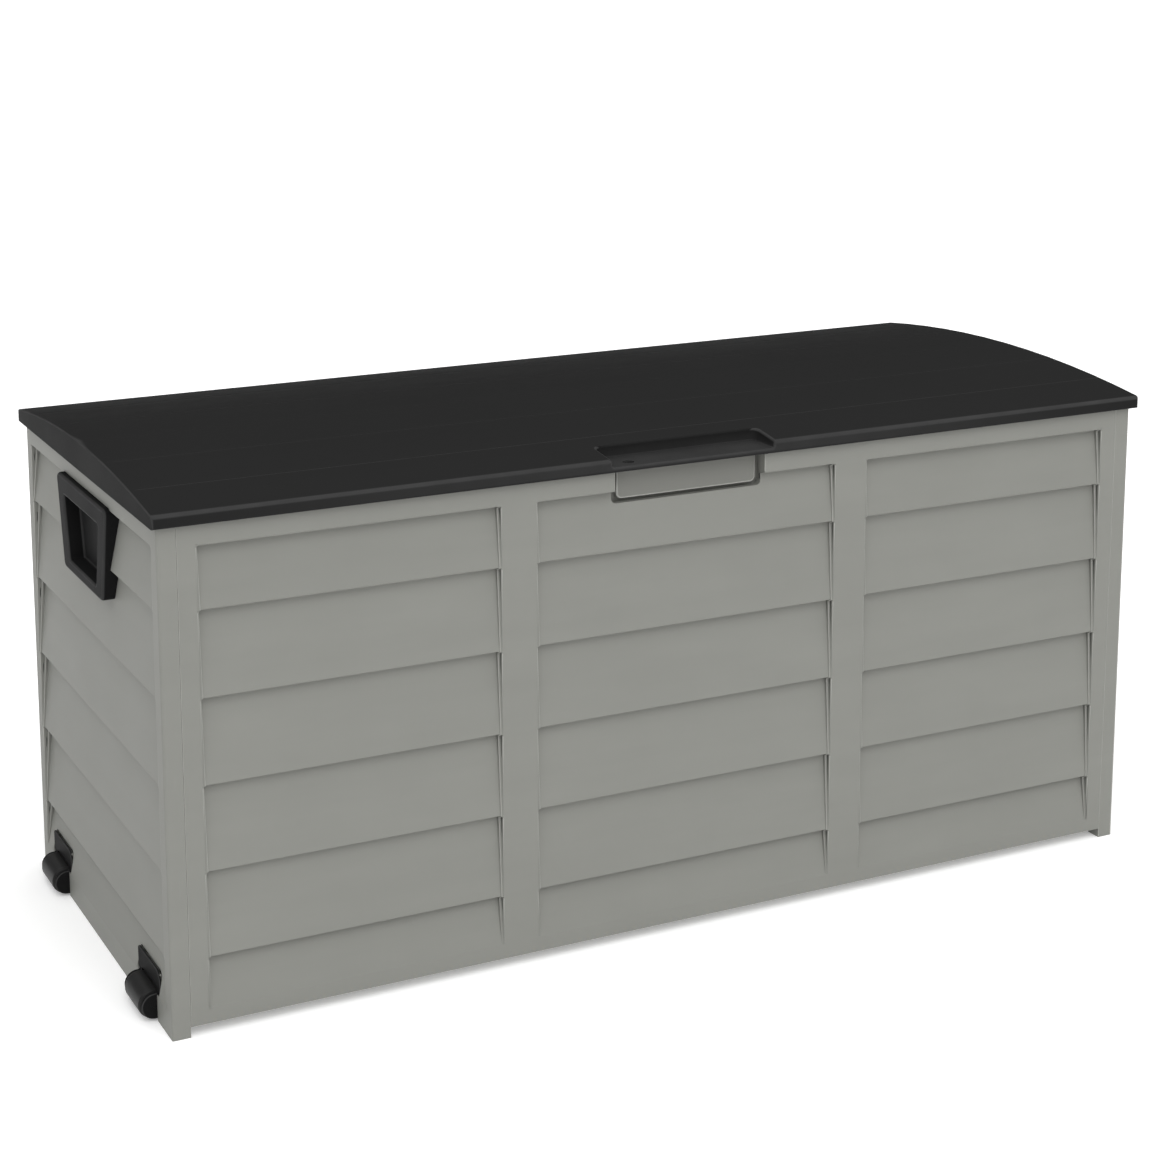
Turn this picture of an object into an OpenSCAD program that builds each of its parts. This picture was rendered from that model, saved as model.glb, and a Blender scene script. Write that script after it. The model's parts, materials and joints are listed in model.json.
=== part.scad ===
// Deck storage box: four moulded panels, a floor, a hinged domed lid,
// two recessed handles and a pair of rollers at the left end.
// Millimetres, +Z up, front of the box towards -Y, floor at z = 0.

/* [Overall size] */
// Length over the lid
box_length = 1120; // [900:5:1400]
// Depth over the lid
box_depth = 490; // [420:5:620]
// Height to the top of the lid
box_height = 530; // [460:5:640]

/* [Panels] */
// Thickness of every moulded wall
wall = 3; // [2.4:0.1:4]
// Full depth of a panel, from its frame to its inner edges
panel_depth = 16; // [14:0.5:22]
// Width of the outer stiles of a panel
stile_width = 18.5; // [16:0.5:26]
// Width of the two mullions of the front and back panels
mullion_width = 39; // [30:1:60]
// Half of the middle bay's width
middle_bay_half = 171; // [120:1:240]
// Height of the top rail
top_rail_height = 30; // [26:1:40]
// Height of the bottom rail above the floor
bottom_rail_height = 26; // [24:1:40]
// Ground clearance under the front and back panels
panel_lift = 10.5; // [6:0.5:16]
// Height of one board
board_pitch = 85; // [60:1:110]
// Top of the lowest board above the bottom rail
first_board_height = 51; // [35:1:80]
// Depth of a board below the frame at its top edge
board_depth = 9.7; // [6:0.1:12]
// Depth of a board below the frame at its lower edge
nose_depth = 1.2; // [0.5:0.1:3]
// Fall of the step under a board
step_fall = 3; // [1:0.5:6]
// Width of the raised strip at each end of the boards
strip_width = 2.2; // [1:0.1:4]
// Height of that strip above the boards
strip_height = 4.2; // [2:0.1:6]

/* [Corner joints] */
// Width of the groove in a corner post
groove_width = 8; // [6:0.5:10]
// Depth of the groove in a corner post
groove_depth = 8.2; // [6:0.1:10]
// Gap around a tongue in its groove
joint_gap = 0.25; // [0.1:0.05:0.5]

/* [Floor panel] */
// Height of the floor panel's ribs and edge
floor_height = 11.5; // [8:0.5:16]
// Ribbed cells along the floor panel
floor_cells_long = 9; // [4:1:14]
// Ribbed cells across the floor panel
floor_cells_wide = 4; // [2:1:8]

/* [Lid] */
// How far the lid reaches past the end panels
lid_reach_end = 6.7; // [5:0.1:12]
// How far the lid reaches past the front panel
lid_reach_front = 7.5; // [5:0.1:12]
// Rise of the domed top above its front edge
dome_rise = 17; // [8:1:40]
// Height of the skirt at the front edge
skirt_height = 13; // [10:0.5:24]
// Gap between the lid's seat ribs and the panels
seat_gap = 0.3; // [0.2:0.1:1]
// Height of the panels inside the skirt
skirt_overlap = 8.7; // [6:0.1:12]
// Distance between the plank lines in the lid
plank_pitch = 88; // [60:1:120]
// Width of a plank line
plank_line = 3; // [1:0.1:4]
// Depth of a plank line
plank_line_depth = 0.6; // [0.3:0.1:1.2]
// Thickness of the stiffening ribs
rib_thickness = 3; // [2:0.5:5]
// Distance between the cross ribs
rib_pitch = 136; // [80:1:240]

/* [Lid tray] */
// Half of the tray's width at its floor
tray_half_floor = 92; // [60:1:140]
// Outward lean of the tray's sides over their height
tray_draft = 3; // [0:0.5:6]
// Depth of the tray from the lid's front edge
tray_reach = 40.5; // [30:0.5:60]
// Height of the tray's floor above the skirt's lower edge
tray_floor_height = 5.5; // [4:0.5:9]
// Radius of the padlock hole
padlock_radius = 6.2; // [4:0.1:8]
// Distance of the padlock hole to the left of the middle
padlock_offset = 67; // [40:1:80]
// Distance of the padlock hole from the lid's front edge
padlock_setback = 16; // [12:0.5:20]

/* [Lock recess] */
// Half of the recess's width in the front panel
recess_half = 86; // [60:1:110]
// Height of the recess below the front panel's top rail
recess_drop = 14.5; // [6:0.5:40]
// Radius of the recess's lower corners
recess_corner = 6; // [3:0.5:12]
// Gap beside the lock plate
plate_side_gap = 6; // [3:0.5:8]
// Gap below the lock plate
plate_bottom_gap = 4; // [2:0.5:6]
// Depth of the lock plate behind the frame
plate_setback = 9; // [6:0.5:12]
// Thickness of the lock bracket
bracket_wall = 2.5; // [2:0.5:4]
// Width of the lock bracket's flanges
bracket_flange = 20; // [14:1:30]

/* [Handles] */
// Half of the handle's width at its top
handle_half_top = 89; // [70:1:110]
// Half of the handle's width at its bottom
handle_half_bottom = 69; // [50:1:100]
// Height of the handle
handle_height = 96; // [80:1:120]
// Distance from the handle's top to the lid's skirt
handle_below_lid = 20; // [12:1:60]
// How far the handle stands proud of the frame
handle_proud = 7; // [4:0.5:10]
// Height of the bar above the finger opening
grip_bar = 19.5; // [15:0.5:26]
// Height of the bar below the finger opening
lower_bar = 11.5; // [8:0.5:20]
// Half of the finger opening's width at its top
opening_half_top = 65; // [45:1:75]
// Half of the finger opening's width at its bottom
opening_half_bottom = 50; // [40:1:70]
// Depth of the finger cup from the handle's face
cup_depth = 17.3; // [14:0.1:22]
// Thickness of the gripped bar
grip_thickness = 6; // [4:0.5:8]
// Wall of the handle's cup
handle_wall = 2.5; // [2:0.1:4]
// Width of the handle's flange inside the box
handle_flange = 11; // [9:0.5:16]

/* [Rollers] */
// Radius of a roller
roller_radius = 14.5; // [10:0.5:20]
// Length of a roller
roller_length = 49; // [30:1:70]
// Radius of the rounding at a roller's ends
roller_round = 3; // [1:0.5:5]
// Height of a roller above the ground
roller_clearance = 0.7; // [0.3:0.1:3]
// How far a roller's axis stands outside the frame
roller_out = 2.2; // [0:0.1:6]
// Distance of each roller from the middle of the end
roller_place = 160; // [120:1:190]
// Radius of a roller's axle
axle_radius = 2.5; // [2:0.1:4]
// Depth of the axle's seat in a cheek
axle_seat = 3; // [2:0.5:4]
// Radial clearance of the axle in the roller
axle_clearance = 0.06; // [0.02:0.01:0.1]
// Thickness of a roller bracket's cheeks
cheek = 5; // [3:0.5:8]
// Radius of a cheek's rounded front
cheek_radius = 12.8; // [9:0.1:15]
// Gap between a roller and its bracket
roller_gap = 0.5; // [0.3:0.1:1.5]
// Half of the bracket plate's width
bracket_half = 36; // [33:0.5:45]
// Height of the bracket plate's top above the ground
bracket_top = 50.5; // [46:0.5:70]
// Radius of the bracket plate's upper front corner
bracket_corner = 14; // [6:1:18]
// Radius of the bracket plate's upper rear corner
bracket_rear_corner = 3; // [1:0.5:8]
// Depth of the bracket plate's face behind the frame
bracket_inset = 1.3; // [0:0.1:3]

/* [Hinges] */
// Radius of a hinge barrel
barrel_radius = 5; // [4:0.1:7]
// Radius of a hinge pin
pin_radius = 2.5; // [1.5:0.1:3.5]
// Radial clearance of a pin in its barrel
pin_clearance = 0.05; // [0.02:0.01:0.1]
// Distance of the hinge axis behind the back panel
hinge_out = 8; // [7:0.5:12]
// Distance of the hinge axis below the lid's skirt
hinge_drop = 7; // [6:0.5:10]
// Length of the lid's hinge arms
hinge_arm = 30; // [20:1:60]
// Length of each ear of a hinge bracket
hinge_ear = 10; // [6:0.5:20]
// Side gap between an arm and an ear
hinge_gap = 0.4; // [0.2:0.1:1]
// Distance of the outer hinges from the middle
hinge_place = 400; // [250:5:500]
// Thickness of a hinge bracket's plate
hinge_plate = 2.5; // [2:0.1:4]

/* [Screws] */
// Radius of a screw's shank
screw_radius = 1.6; // [1.2:0.1:2.5]
// Radius of a screw's head
screw_head = 4; // [3:0.1:5]
// Height of a screw's head
screw_head_height = 1.8; // [1.2:0.1:3]
// Radial clearance around a screw's shank
screw_clearance = 0.1; // [0.05:0.05:0.3]

/* [Hidden] */
$fn = 96;

PANEL_COLOUR = [0.55, 0.555, 0.53];
LID_COLOUR = [0.17, 0.17, 0.17];
STEEL_COLOUR = [0.75, 0.76, 0.78];

// Cuts run this far past the surface they open.
past = 1;
// Straight steps in the rounding of an outline's corner.
arc_steps = 6;

// The body under the lid.
half_x = box_length / 2 - lid_reach_end;
half_y = box_depth / 2 - lid_reach_front;
skirt_bottom = box_height - dome_rise - skirt_height;
body_top = skirt_bottom + skirt_overlap;
inner_x = half_x - panel_depth;
inner_y = half_y - panel_depth;

// Boards of every panel.
bay_top = body_top - top_rail_height;
bay_bottom = bottom_rail_height;
first_nose = bay_bottom + first_board_height;
top_gap = board_pitch / 4;
nose_count = floor((bay_top - top_gap - first_nose) / board_pitch) + 1;
noses = [for (i = [nose_count - 1:-1:0]) first_nose + i * board_pitch];

// Corner posts of the end panels and tongues of the front and back panels.
post = max(stile_width, panel_depth);
panel_half = half_x - post - joint_gap;
groove_y = half_y - panel_depth / 2 + 1.5;
tongue_reach = groove_depth - joint_gap;

// Lid dome: a cylinder along X through the crest and both edges.
dome_radius = (pow(box_depth / 2, 2) + pow(dome_rise, 2)) / (2 * dome_rise);
dome_z = box_height - dome_radius;
tray_floor = skirt_bottom + tray_floor_height;
tray_under = tray_floor - wall;
tray_wall = tray_half_floor + tray_draft + wall;
plank_margin = 6;
padlock_at = [-padlock_offset, -box_depth / 2 + padlock_setback];

// Lock recess and bracket.
recess_bottom = bay_top - recess_drop;
plate_y = -half_y + plate_setback;
plate_half = recess_half - plate_side_gap;
ledge_top = skirt_bottom + joint_gap * 2;
bracket_screw_z = [recess_bottom + 3, recess_bottom + 26];

// Handles.
handle_top = skirt_bottom - handle_below_lid;
handle_bottom = handle_top - handle_height;
opening_top = handle_top - grip_bar;
opening_bottom = handle_bottom + lower_bar;
handle_face = half_x + handle_proud;
cup_back = handle_face - cup_depth;
pocket_top = handle_top - 4;
handle_screws = [
    [handle_half_bottom + handle_flange / 2, handle_bottom + 4],
    [handle_half_top * 0.6, handle_top + handle_flange / 2]
];

// Rollers.
axis_x = -half_x - roller_out;
axis_z = roller_clearance + roller_radius;
well_half = roller_length / 2 + roller_gap;
cheek_half = well_half + cheek;
axle_half = well_half + axle_seat;
well_top = axis_z + roller_radius + 1.5;
well_back = axis_x + roller_radius + 1;
housing_top = well_top + 2.5;
plate_face = -half_x + bracket_inset;
plate_seat = plate_face + 2.5;
plate_low = axis_z + cheek_radius - 1;
boss_radius = 4;
boss_at = [cheek_half - 4.5, housing_top + 6.5];
boss_end = plate_seat + 9;

// Hinges.
hinge_y = half_y + hinge_out;
hinge_z = skirt_bottom - hinge_drop;
hinge_xs = [-hinge_place, 0, hinge_place];
ear_in = hinge_arm / 2 + hinge_gap;
ear_out = ear_in + hinge_ear;
hinge_plate_half = ear_out + 13;
hinge_screw_at = ear_out + 7;
hinge_screw_z = hinge_z - 2;

// A convex outline, counter-clockwise, with every corner rounded by the radius given for it.
module rounded_outline(points, radii) {
    n = len(points);
    function unit(v) = v / norm(v);
    function to_next(i) = unit(points[(i + 1) % n] - points[i]);
    function to_last(i) = unit(points[(i + n - 1) % n] - points[i]);
    function half_angle(i) = acos(to_next(i) * to_last(i)) / 2;
    function middle(i) = points[i] + unit(to_next(i) + to_last(i)) * radii[i] / sin(half_angle(i));
    function start(i) = let (d = -to_last(i)) atan2(-d[0], d[1]);
    function arc(i) = [for (k = [0:arc_steps])
        let (a = start(i) + (180 - 2 * half_angle(i)) * k / arc_steps)
        middle(i) + radii[i] * [cos(a), sin(a)]];
    polygon([for (i = [0:n - 1]) each radii[i] == 0 ? [points[i]] : arc(i)]);
}

// An outline drawn in [y, z], extruded along X from x0 to x1.
module along_x(x0, x1) {
    translate([x0, 0, 0]) rotate([90, 0, 90]) linear_extrude(x1 - x0) children();
}

// An outline drawn in [x, z], extruded along Y from y0 to y1.
module along_y(y0, y1) {
    translate([0, y1, 0]) rotate([90, 0, 0]) linear_extrude(y1 - y0) children();
}

// A box between two corners.
module block(low, high) {
    translate(low) cube(high - low);
}

// A cylinder along Y.
module rod_y(r, x, z, y0, y1) {
    translate([x, y1, z]) rotate([90, 0, 0]) cylinder(r = r, h = y1 - y0);
}

// A cylinder along X.
module rod_x(r, y, z, x0, x1) {
    translate([x0, y, z]) rotate([0, 90, 0]) cylinder(r = r, h = x1 - x0);
}

// Screw along +Z: its head's underside is at z = 0 and its shank points down.
module screw(length) {
    cylinder(r = screw_head, h = screw_head_height);
    translate([0, 0, -length]) cylinder(r = screw_radius, h = length);
}

// ---- Panels ----
// A panel is drawn with x along it, y as the depth behind its frame and z up.

// Depth of the outer surface from the top of a bay to its bottom, as [depth, z].
function board_line() = [
    [0, bay_top],
    [board_depth, bay_top - step_fall],
    for (z = noses) each [[nose_depth, z], [board_depth, z - step_fall]],
    [0, bay_bottom]
];

// Room in front of the boards when their surface is raised by a height.
module bay_room(x0, x1, raise) {
    line = [for (p = board_line()) [max(p[0] - raise, 0), p[1]]];
    along_x(x0, x1) polygon(concat([[-past, bay_top]], line, [[-past, bay_bottom]]));
}

// What the outside of a bay leaves open in front of its boards and their end strips.
module bay_outside(x0, x1) {
    bay_room(x0, x1, strip_height);
    bay_room(x0 + strip_width, x1 - strip_width, 0);
}

// What the inside of a bay leaves open behind its boards.
module bay_inside(x0, x1) {
    line = [for (p = board_line()) p + [wall, wall]];
    n = len(line);
    back = panel_depth + past;
    along_x(x0, x1) polygon(concat(
        [for (i = [1:n - 1]) line[i]],
        [[back, line[n - 1][1]], [back, line[1][1]]]
    ));
}

// Hollow behind a frame member.
module member_hollow(x0, x1, z0, z1) {
    block([x0, wall, z0], [x1, panel_depth + past, z1]);
}

// The three bays of a front or back panel, as [x0, x1].
function long_bays() = let (
    edge = panel_half + joint_gap - stile_width,
    next = middle_bay_half + mullion_width
) [[-edge, -next], [-middle_bay_half, middle_bay_half], [next, edge]];

// Front and back panels: three bays, with a tongue at each end.
module long_panel() {
    bays = long_bays();
    first = bays[0][0];
    tongue_y = half_y - groove_y - groove_width / 2 + joint_gap;
    difference() {
        block([-panel_half, 0, panel_lift], [panel_half, panel_depth, body_top]);
        for (b = bays) {
            bay_outside(b[0], b[1]);
            bay_inside(b[0], b[1]);
        }
        for (x = [-1, 1]) {
            x0 = x > 0 ? -first + wall : -panel_half + wall;
            member_hollow(x0, x0 + panel_half + first - 2 * wall, bay_bottom + wall, bay_top);
        }
        for (i = [0, 1]) {
            member_hollow(bays[i][1] + wall, bays[i + 1][0] - wall, bay_bottom + wall, bay_top);
        }
        member_hollow(-panel_half + wall, panel_half - wall, bay_top + wall, body_top - wall);
        member_hollow(-panel_half + wall, panel_half - wall, panel_lift + wall, bay_bottom);
    }
    for (x = [-1, 1]) {
        x0 = x > 0 ? panel_half - past : -panel_half - tongue_reach;
        block(
            [x0, tongue_y, panel_lift],
            [x0 + tongue_reach + past, tongue_y + groove_width - 2 * joint_gap, body_top]
        );
    }
}

// Outline of the lock recess, open at the top, as [x, z].
module recess_outline(half, bottom, top) {
    rounded_outline(
        [[-half, bottom], [half, bottom], [half, top], [-half, top]],
        [recess_corner, recess_corner, 0, 0]
    );
}

// Holes for screws that come from behind a panel.
module screw_holes(places, depth) {
    for (p = places) {
        translate([p[0], panel_depth - depth, p[1]]) rotate([-90, 0, 0])
            cylinder(r = screw_radius + screw_clearance, h = depth + past);
    }
}

// Screw places of the lock bracket, as [x, z].
function lock_screws() = [for (x = [-1, 1]) for (z = bracket_screw_z)
    [x * (recess_half + wall + 7), z]];

module front_panel() {
    rim = recess_half + wall;
    color(PANEL_COLOUR) translate([0, -half_y, 0]) difference() {
        union() {
            long_panel();
            // Rim around the recess and bosses for the lock bracket's screws.
            difference() {
                union() {
                    block([-rim, wall, recess_bottom - wall], [rim, panel_depth, body_top - wall]);
                    for (p = lock_screws()) {
                        block([p[0] - 5, wall / 2, p[1] - 5], [p[0] + 5, panel_depth, p[1] + 5]);
                    }
                }
                bay_outside(long_bays()[1][0], long_bays()[1][1]);
            }
        }
        along_y(-past, panel_depth + past) recess_outline(recess_half, recess_bottom, body_top + past);
        block(
            [-tray_wall - joint_gap * 2, -past, tray_under - joint_gap * 2],
            [tray_wall + joint_gap * 2, panel_depth + past, body_top + past]
        );
        screw_holes(lock_screws(), 5);
    }
}

module back_panel() {
    color(PANEL_COLOUR) translate([0, half_y, 0]) mirror([0, 1, 0]) difference() {
        union() {
            long_panel();
            for (p = hinge_screw_places()) {
                block([p[0] - 4, wall / 2, p[1] - 4], [p[0] + 4, panel_depth - 4, p[1] + 4]);
            }
        }
        for (p = hinge_screw_places()) {
            translate([p[0], -past, p[1]]) rotate([-90, 0, 0])
                cylinder(r = screw_radius + screw_clearance, h = 9 + past);
        }
    }
}

// Handle outline, grown by a margin, as [along the end, z].
module handle_outline(grow) {
    rounded_outline(
        [
            [-handle_half_bottom - grow, handle_bottom - grow],
            [handle_half_bottom + grow, handle_bottom - grow],
            [handle_half_top + grow, handle_top + grow],
            [-handle_half_top - grow, handle_top + grow]
        ],
        [8 + grow, 8 + grow, 6 + grow, 6 + grow]
    );
}

// Handle screw places, as [along the end, z].
function handle_screw_places() = [for (s = [-1, 1]) for (p = handle_screws) [s * p[0], p[1]]];

// End panel, drawn as a panel, with its posts at both ends.
module end_panel() {
    edge = half_y - stile_width;
    groove_low = half_y - groove_width / 2 - (half_y - groove_y);
    difference() {
        union() {
            block([-half_y, 0, 0], [half_y, panel_depth, body_top]);
            for (s = [-1, 1]) {
                x0 = s > 0 ? half_y - post : -half_y;
                block([x0, 0, 0], [x0 + post, post, body_top]);
            }
        }
        bay_outside(-edge, edge);
        difference() {
            union() {
                bay_inside(-edge, edge);
                member_hollow(-edge, edge, bay_top + wall, body_top - wall);
                member_hollow(-edge, edge, wall, bay_bottom);
            }
            // Rim and screw bosses of the handle.
            along_y(0, panel_depth) handle_outline(wall + joint_gap);
            for (p = handle_screw_places()) {
                block([p[0] - 5, 0, p[1] - 5], [p[0] + 5, panel_depth, p[1] + 5]);
            }
        }
        along_y(-past, panel_depth + past) handle_outline(joint_gap);
        screw_holes(handle_screw_places(), 5);
        // Grooves for the tongues, open towards the middle of the box and at the top.
        for (s = [-1, 1]) {
            x0 = s > 0 ? groove_low : -groove_low - groove_width;
            block(
                [x0, post - groove_depth, panel_lift],
                [x0 + groove_width, post + past, body_top + past]
            );
        }
    }
}

module left_end_panel() {
    color(PANEL_COLOUR) translate([-half_x, 0, 0]) rotate([0, 0, -90]) difference() {
        union() {
            end_panel();
            for (s = [-1, 1]) for (b = [-1, 1]) {
                roller_boss_pad(s * roller_place + b * boss_at[0]);
            }
        }
        for (s = [-1, 1]) {
            y = s * roller_place;
            // Seat of the bracket plate and the way through for its housing.
            translate([y, 0, 0]) along_y(-past, plate_seat + half_x)
                bracket_outline(joint_gap, bracket_corner, bracket_rear_corner);
            block(
                [y - cheek_half - joint_gap, -past, -past],
                [y + cheek_half + joint_gap, panel_depth + past, housing_top + joint_gap]
            );
            for (b = [-1, 1]) {
                translate([y + b * boss_at[0], -past, boss_at[1]]) rotate([-90, 0, 0])
                    cylinder(r = boss_radius + joint_gap, h = panel_depth + 2 * past);
            }
        }
    }
}

// Solid seat around a roller bracket's boss.
module roller_boss_pad(x) {
    z = boss_at[1];
    block([x - 7, plate_seat + half_x - past, z - 7], [x + 7, boss_end + half_x - joint_gap, z + 7]);
}

module right_end_panel() {
    color(PANEL_COLOUR) translate([half_x, 0, 0]) rotate([0, 0, 90]) end_panel();
}

// ---- Floor panel ----
module base_panel() {
    low = panel_lift + wall;
    top = low + floor_height;
    x_main = inner_x - joint_gap;
    y_main = half_y - post - joint_gap;
    x_edge = half_x - post - wall - joint_gap * 4;
    y_edge = half_y - wall - joint_gap;
    cell_x = (2 * (x_edge - wall) + wall) / floor_cells_long;
    cell_y = (2 * (y_main - wall) + wall) / floor_cells_wide;
    color(PANEL_COLOUR) difference() {
        union() {
            block([-x_main, -y_main, low], [x_main, y_main, top]);
            block([-x_edge, -y_edge, low], [x_edge, y_edge, top]);
        }
        for (i = [0:floor_cells_long - 1]) for (j = [0:floor_cells_wide - 1]) {
            x = -x_edge + wall + i * cell_x;
            y = -y_main + wall + j * cell_y;
            block([x, y, low - past], [x + cell_x - wall, y + cell_y - wall, top - wall]);
        }
    }
}

// ---- Lid ----
// Everything under the dome when its surface is lowered by a drop.
module under_dome(drop, inset) {
    x = box_length / 2 - inset;
    y = box_depth / 2 - inset;
    intersection() {
        block([-x, -y, skirt_bottom - past * (inset > 0 ? 1 : 0)], [x, y, box_height + past]);
        rod_x(dome_radius - drop, 0, dome_z, -x, x);
    }
}

function dome_height(y) = dome_z + sqrt(pow(dome_radius, 2) - pow(y, 2));

// Tray outline across the lid, as [x, z], grown by a margin.
module tray_section(grow, floor_z) {
    draft = tray_draft / (box_height - tray_floor);
    top = box_height + past;
    low = tray_half_floor + grow;
    high = low + draft * (top - floor_z);
    polygon([[-low, floor_z], [low, floor_z], [high, top], [-high, top]]);
}

module lid_ribs() {
    seat = body_top + seat_gap;
    inner = seat - 3;
    x_seat = half_x - panel_depth / 2;
    y_seat = half_y - panel_depth / 2;
    half_rib = rib_thickness / 2;
    y_span = inner_y - joint_gap * 4;
    tray_back = -box_depth / 2 + tray_reach + wall;
    rib_count = floor((inner_x - 20) / rib_pitch);
    for (s = [-1, 1]) {
        block(
            [s * x_seat - half_rib, -box_depth / 2 + wall / 2, seat],
            [s * x_seat + half_rib, box_depth / 2 - wall / 2, box_height]
        );
        block(
            [-box_length / 2 + wall / 2, s * y_seat - half_rib, seat],
            [box_length / 2 - wall / 2, s * y_seat + half_rib, box_height]
        );
    }
    for (i = [-rib_count:rib_count]) {
        x = i * rib_pitch;
        y0 = abs(x) < tray_wall + rib_thickness ? tray_back - wall / 2 : -y_span;
        block([x - half_rib, y0, inner], [x + half_rib, y_span, box_height]);
    }
    for (y = [-plank_pitch * 1.5, -plank_pitch * 0.5, plank_pitch * 0.5, plank_pitch * 1.5]) {
        block([-inner_x + 4, y - half_rib, inner], [inner_x - 4, y + half_rib, box_height]);
    }
}

// Arm on the back of the lid's skirt, ending in the hinge barrel.
module hinge_arm(x) {
    skirt_y = box_depth / 2;
    x0 = x - hinge_arm / 2;
    x1 = x + hinge_arm / 2;
    along_x(x0, x1) polygon([
        [skirt_y - wall, hinge_z],
        [hinge_y + barrel_radius, hinge_z],
        [hinge_y + barrel_radius, hinge_z + barrel_radius],
        [skirt_y, skirt_bottom + 8],
        [skirt_y - wall, skirt_bottom + 8]
    ]);
    rod_x(barrel_radius, hinge_y, hinge_z, x0, x1);
}

module lid() {
    front = -box_depth / 2;
    color(LID_COLOUR) difference() {
        union() {
            difference() {
                under_dome(0, 0);
                under_dome(wall, wall);
            }
            intersection() {
                under_dome(wall / 2, wall / 2);
                lid_ribs();
            }
            intersection() {
                under_dome(0, 0);
                along_y(front, front + tray_reach + wall) tray_section(wall, tray_under);
            }
            for (x = hinge_xs) {
                hinge_arm(x);
            }
        }
        // Grip tray, open to the front.
        along_y(front - past, front + tray_reach) tray_section(0, tray_floor);
        translate([padlock_at[0], padlock_at[1], tray_under - past])
            cylinder(r = padlock_radius, h = wall + 2 * past);
        // Plank lines.
        for (i = [-2:2]) {
            y = i * plank_pitch;
            translate([0, y, dome_height(y)]) rotate([-asin(y / dome_radius), 0, 0])
                along_x(-box_length / 2 + plank_margin, box_length / 2 - plank_margin)
                polygon([[0, -plank_line_depth], [plank_line, plank_line_depth],
                         [-plank_line, plank_line_depth]]);
        }
        for (x = hinge_xs) {
            rod_x(pin_radius + pin_clearance, hinge_y, hinge_z, x - hinge_arm, x + hinge_arm);
        }
        // Room around the hinge brackets' ears.
        for (x = hinge_xs) for (s = [-1, 1]) {
            x0 = x + (s > 0 ? hinge_arm / 2 : -ear_out - hinge_gap);
            rod_x(barrel_radius + 1, hinge_y, hinge_z, x0, x0 + hinge_ear + 2 * hinge_gap);
        }
    }
}

// ---- Lock bracket ----
module lock_bracket() {
    back = -inner_y;
    flange = recess_half + bracket_flange;
    flange_low = recess_bottom - 6;
    plate_low = recess_bottom + plate_bottom_gap;
    ledge_y = -half_y + 1;
    color(PANEL_COLOUR) difference() {
        union() {
            block([-flange, back, flange_low], [flange, back + bracket_wall, ledge_top]);
            along_y(plate_y, back + bracket_wall) rounded_outline(
                [[-plate_half, plate_low], [plate_half, plate_low],
                 [plate_half, ledge_top], [-plate_half, ledge_top]],
                [recess_corner, recess_corner, 0, 0]
            );
            block([-plate_half, ledge_y, ledge_top - bracket_wall], [plate_half, plate_y + past, ledge_top]);
        }
        block(
            [-plate_half + bracket_wall, plate_y + bracket_wall, plate_low + bracket_wall],
            [plate_half - bracket_wall, back + bracket_wall + past, ledge_top - bracket_wall]
        );
        translate([padlock_at[0], padlock_at[1], ledge_top - bracket_wall - past])
            cylinder(r = padlock_radius, h = bracket_wall + 2 * past);
        for (p = lock_screws()) {
            translate([p[0], back - past, p[1]]) rotate([-90, 0, 0])
                cylinder(r = screw_radius + screw_clearance, h = bracket_wall + 2 * past);
        }
    }
}

module lock_bracket_screws() {
    color(STEEL_COLOUR) for (p = lock_screws()) {
        translate([p[0], -inner_y + bracket_wall, p[1]]) rotate([-90, 0, 0])
            screw(bracket_wall + 4.5);
    }
}

// ---- Handles ----
// Drawn as a panel: y is the depth behind the frame, so the face is at -handle_proud.
module handle() {
    face = -handle_proud;
    back = face + cup_depth;
    seat = panel_depth;
    end = seat + handle_wall;
    outline_low = [
        [-opening_half_bottom, opening_bottom], [opening_half_bottom, opening_bottom],
        [opening_half_top, opening_top], [-opening_half_top, opening_top]
    ];
    difference() {
        union() {
            along_y(face, end) handle_outline(0);
            along_y(seat, end) handle_outline(handle_flange);
        }
        // Finger opening and the cup behind it.
        along_y(face - past, back) rounded_outline(outline_low, [4, 4, 4, 4]);
        // Pocket behind the gripped bar.
        along_y(face + grip_thickness, back) rounded_outline(
            [
                outline_low[0], outline_low[1],
                [opening_half_top + 3, pocket_top], [-opening_half_top - 3, pocket_top]
            ],
            [4, 4, 6, 6]
        );
        // The back of the moulding is open around the cup.
        difference() {
            along_y(face + handle_wall, end + past) handle_outline(-handle_wall);
            along_y(face, back + handle_wall) rounded_outline(
                [
                    [-opening_half_bottom - handle_wall, opening_bottom - handle_wall],
                    [opening_half_bottom + handle_wall, opening_bottom - handle_wall],
                    [opening_half_top + 3 + handle_wall, handle_top],
                    [-opening_half_top - 3 - handle_wall, handle_top]
                ],
                [4, 4, 6, 6]
            );
        }
        for (p = handle_screw_places()) {
            translate([p[0], seat - past, p[1]]) rotate([-90, 0, 0])
                cylinder(r = screw_radius + screw_clearance, h = handle_wall + 2 * past);
        }
    }
}

module handle_screw_set() {
    for (p = handle_screw_places()) {
        translate([p[0], panel_depth + handle_wall, p[1]]) rotate([-90, 0, 0])
            screw(handle_wall + 4.5);
    }
}

module at_left() {
    translate([-half_x, 0, 0]) rotate([0, 0, -90]) children();
}

module at_right() {
    translate([half_x, 0, 0]) rotate([0, 0, 90]) children();
}

module left_handle() {
    color(LID_COLOUR) at_left() handle();
}

module left_handle_screws() {
    color(STEEL_COLOUR) at_left() handle_screw_set();
}

module right_handle() {
    color(LID_COLOUR) at_right() handle();
}

module right_handle_screws() {
    color(STEEL_COLOUR) at_right() handle_screw_set();
}

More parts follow.
